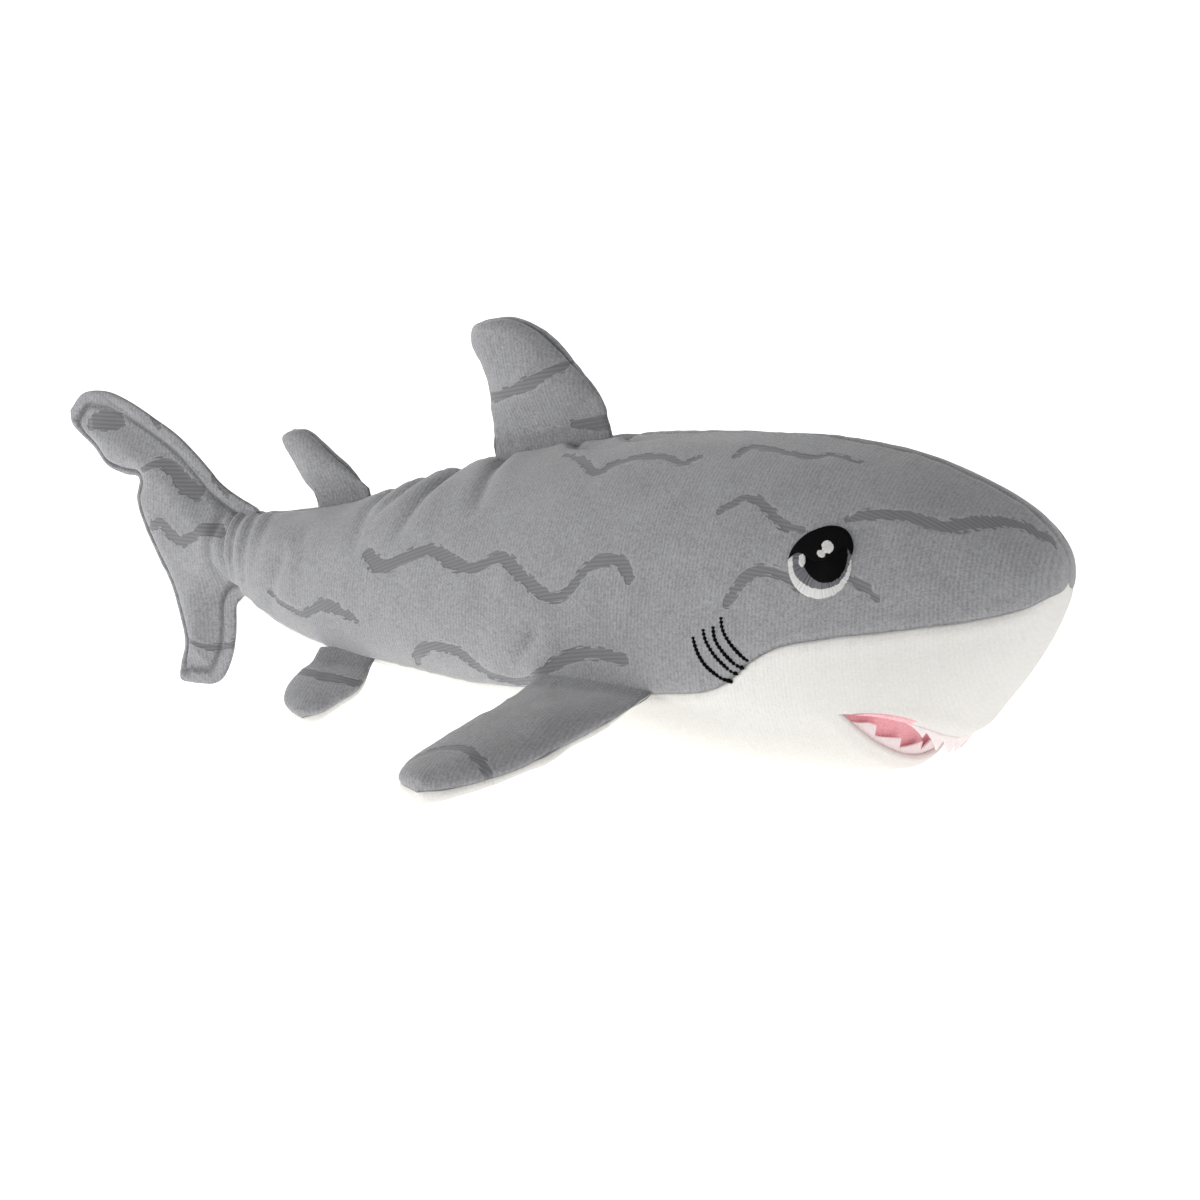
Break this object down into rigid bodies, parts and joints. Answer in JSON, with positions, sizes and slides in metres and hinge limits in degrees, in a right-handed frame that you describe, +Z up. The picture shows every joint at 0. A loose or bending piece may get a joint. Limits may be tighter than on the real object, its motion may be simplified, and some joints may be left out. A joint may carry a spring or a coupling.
{
  "type": "plush shark",
  "caption": "Stuffed plush shark with grey patterned sides, white belly, lined open mouth with felt teeth, embroidered eyes and gills, and soft hinged fins.",
  "frame": {"origin": "centre of the bounding box at the floor it lies on", "axes": "+X towards the nose, +Y towards the shark's left side, +Z up"},
  "size_m": [0.4365, 0.2798, 0.1546],
  "materials": {
    "grey_plush": "short-pile plush knit with carved jacquard marks",
    "white_plush": "short-pile plush knit",
    "filling": "loose polyester fibre",
    "pink_lining": "brushed knit lining",
    "felt": "soft felt",
    "black_thread": "satin-stitched polyester thread",
    "iris_thread": "satin-stitched polyester thread",
    "white_thread": "satin-stitched polyester thread"
  },
  "bodies": {
    "body": {"side_panel_right": "grey_plush", "side_panel_left": "grey_plush", "belly_panel": "white_plush", "body_stuffing": "filling", "mouth_lining": "pink_lining", "upper_teeth": "felt", "lower_teeth": "felt", "eye_white_right": "white_thread", "eye_iris_right": "iris_thread", "eye_pupil_right": "black_thread", "eye_glint_large_right": "white_thread", "eye_glint_small_right": "white_thread", "gill_stitch_right_1": "black_thread", "gill_stitch_right_2": "black_thread", "gill_stitch_right_3": "black_thread", "gill_stitch_right_4": "black_thread", "eye_white_left": "white_thread", "eye_iris_left": "iris_thread", "eye_pupil_left": "black_thread", "eye_glint_large_left": "white_thread", "eye_glint_small_left": "white_thread", "gill_stitch_left_1": "black_thread", "gill_stitch_left_2": "black_thread", "gill_stitch_left_3": "black_thread", "gill_stitch_left_4": "black_thread"},
    "dorsal_fin": {"dorsal_fin_right_panel": "grey_plush", "dorsal_fin_left_panel": "grey_plush", "dorsal_fin_stuffing": "filling"},
    "second_dorsal_fin": {"second_dorsal_right_panel": "grey_plush", "second_dorsal_left_panel": "grey_plush", "second_dorsal_stuffing": "filling"},
    "caudal_fin": {"caudal_fin_right_panel": "grey_plush", "caudal_fin_left_panel": "grey_plush", "caudal_fin_stuffing": "filling"},
    "pectoral_fin_right": {"pectoral_right_top_panel": "grey_plush", "pectoral_right_under_panel": "white_plush", "pectoral_right_stuffing": "filling"},
    "pelvic_fin_right": {"pelvic_right_top_panel": "grey_plush", "pelvic_right_under_panel": "white_plush", "pelvic_right_stuffing": "filling"},
    "pectoral_fin_left": {"pectoral_left_top_panel": "grey_plush", "pectoral_left_under_panel": "white_plush", "pectoral_left_stuffing": "filling"},
    "pelvic_fin_left": {"pelvic_left_top_panel": "grey_plush", "pelvic_left_under_panel": "white_plush", "pelvic_left_stuffing": "filling"}
  },
  "joints": [
    {"name": "dorsal_fin_lean", "type": "hinge", "parent": "body", "child": "dorsal_fin", "pos_m": [0.00821, 0, 0.11288], "axis": [0.9755, 0, 0.22], "range_deg": [-40, 40], "stiffness_Nm_per_rad": 0.15},
    {"name": "second_dorsal_lean", "type": "hinge", "parent": "body", "child": "second_dorsal_fin", "pos_m": [-0.08561, 0, 0.08394], "axis": [0.9679, 0, 0.2514], "range_deg": [-40, 40], "stiffness_Nm_per_rad": 0.15},
    {"name": "caudal_fin_sweep", "type": "hinge", "parent": "body", "child": "caudal_fin", "pos_m": [-0.1468, 0, 0.06], "axis": [0, 0, 1], "range_deg": [-35, 35], "stiffness_Nm_per_rad": 0.15},
    {"name": "pectoral_right_flap", "type": "hinge", "parent": "body", "child": "pectoral_fin_right", "pos_m": [0.057, -0.06001, 0.02941], "axis": [-1, 0, 0], "range_deg": [-30, 60], "stiffness_Nm_per_rad": 0.15},
    {"name": "pectoral_left_flap", "type": "hinge", "parent": "body", "child": "pectoral_fin_left", "pos_m": [0.057, 0.06001, 0.02941], "axis": [1, 0, 0], "range_deg": [-30, 60], "stiffness_Nm_per_rad": 0.15},
    {"name": "pelvic_right_flap", "type": "hinge", "parent": "body", "child": "pelvic_fin_right", "pos_m": [-0.069, -0.02797, 0.02243], "axis": [-1, 0, 0], "range_deg": [-20, 40], "stiffness_Nm_per_rad": 0.15},
    {"name": "pelvic_left_flap", "type": "hinge", "parent": "body", "child": "pelvic_fin_left", "pos_m": [-0.069, 0.02797, 0.02243], "axis": [1, 0, 0], "range_deg": [-20, 40], "stiffness_Nm_per_rad": 0.15}
  ]
}
